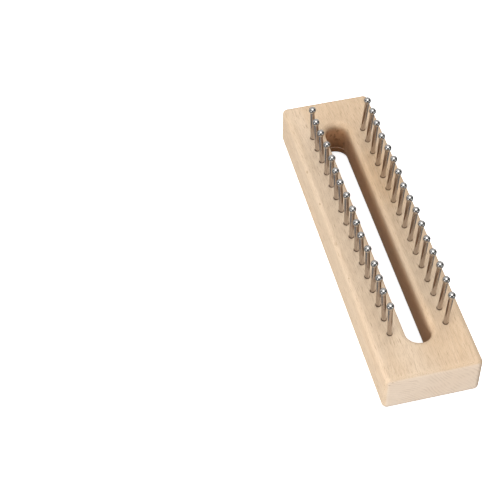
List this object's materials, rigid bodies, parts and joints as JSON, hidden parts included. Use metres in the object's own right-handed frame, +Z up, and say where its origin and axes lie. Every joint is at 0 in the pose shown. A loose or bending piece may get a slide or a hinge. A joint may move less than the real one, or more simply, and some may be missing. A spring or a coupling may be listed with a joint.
{
  "type": "peg loom",
  "caption": "Hand knitting loom: a long beech block with a round-ended slot through it and a row of ball-headed steel pins along each side of the slot.",
  "frame": {"origin": "middle of the block's underside, which is the bottom centre of the whole object", "axes": "+X across the block from the left row to the right row, +Y along the block, +Z up, the way the pins stand"},
  "size_m": [0.064, 0.25, 0.06],
  "materials": {
    "beech": "fine sanded, unvarnished",
    "pin_steel": "polished nickel plate"
  },
  "bodies": {
    "root": {"beech_body": "beech", "pin_left_01": "pin_steel", "pin_left_02": "pin_steel", "pin_left_03": "pin_steel", "pin_left_04": "pin_steel", "pin_left_05": "pin_steel", "pin_left_06": "pin_steel", "pin_left_07": "pin_steel", "pin_left_08": "pin_steel", "pin_left_09": "pin_steel", "pin_left_10": "pin_steel", "pin_left_11": "pin_steel", "pin_left_12": "pin_steel", "pin_left_13": "pin_steel", "pin_left_14": "pin_steel", "pin_left_15": "pin_steel", "pin_left_16": "pin_steel", "pin_right_01": "pin_steel", "pin_right_02": "pin_steel", "pin_right_03": "pin_steel", "pin_right_04": "pin_steel", "pin_right_05": "pin_steel", "pin_right_06": "pin_steel", "pin_right_07": "pin_steel", "pin_right_08": "pin_steel", "pin_right_09": "pin_steel", "pin_right_10": "pin_steel", "pin_right_11": "pin_steel", "pin_right_12": "pin_steel", "pin_right_13": "pin_steel", "pin_right_14": "pin_steel", "pin_right_15": "pin_steel", "pin_right_16": "pin_steel"}
  },
  "joints": []
}
